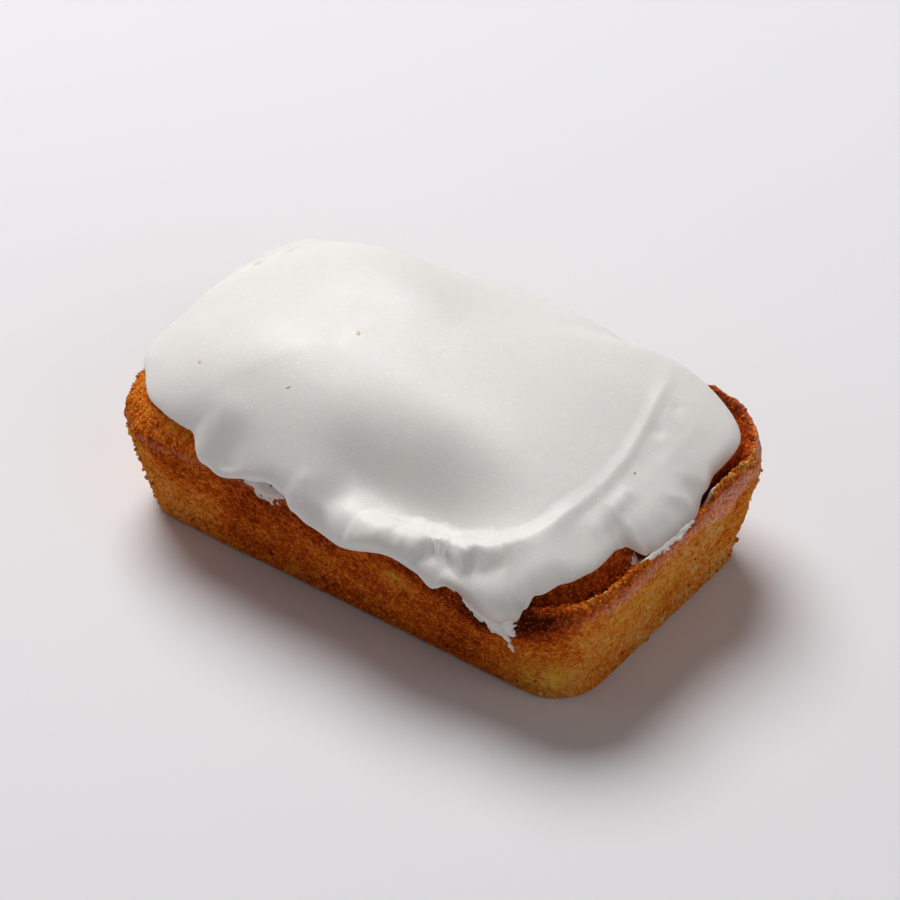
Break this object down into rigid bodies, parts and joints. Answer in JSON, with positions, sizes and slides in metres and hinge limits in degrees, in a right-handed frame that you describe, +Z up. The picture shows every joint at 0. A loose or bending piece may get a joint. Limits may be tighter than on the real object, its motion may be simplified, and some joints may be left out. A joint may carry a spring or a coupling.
{
  "type": "iced lemon loaf cake",
  "caption": "Small tin-baked lemon loaf cake with a browned crust and a domed top under poured white icing, standing on its flat base.",
  "frame": {"origin": "middle of the flat base, on the surface that the loaf stands on", "axes": "+Z up, +X along the long side, with the bare lip and the torn flap of crust at the +X end"},
  "size_m": [0.0961, 0.0687, 0.0406],
  "materials": {
    "crust": "golden brown baked crust, dry and finely porous, darker along the rim",
    "icing": "white sugar icing, satin, slightly translucent at thin edges"
  },
  "bodies": {
    "root": {"cake": "crust", "icing": "icing"}
  },
  "joints": []
}
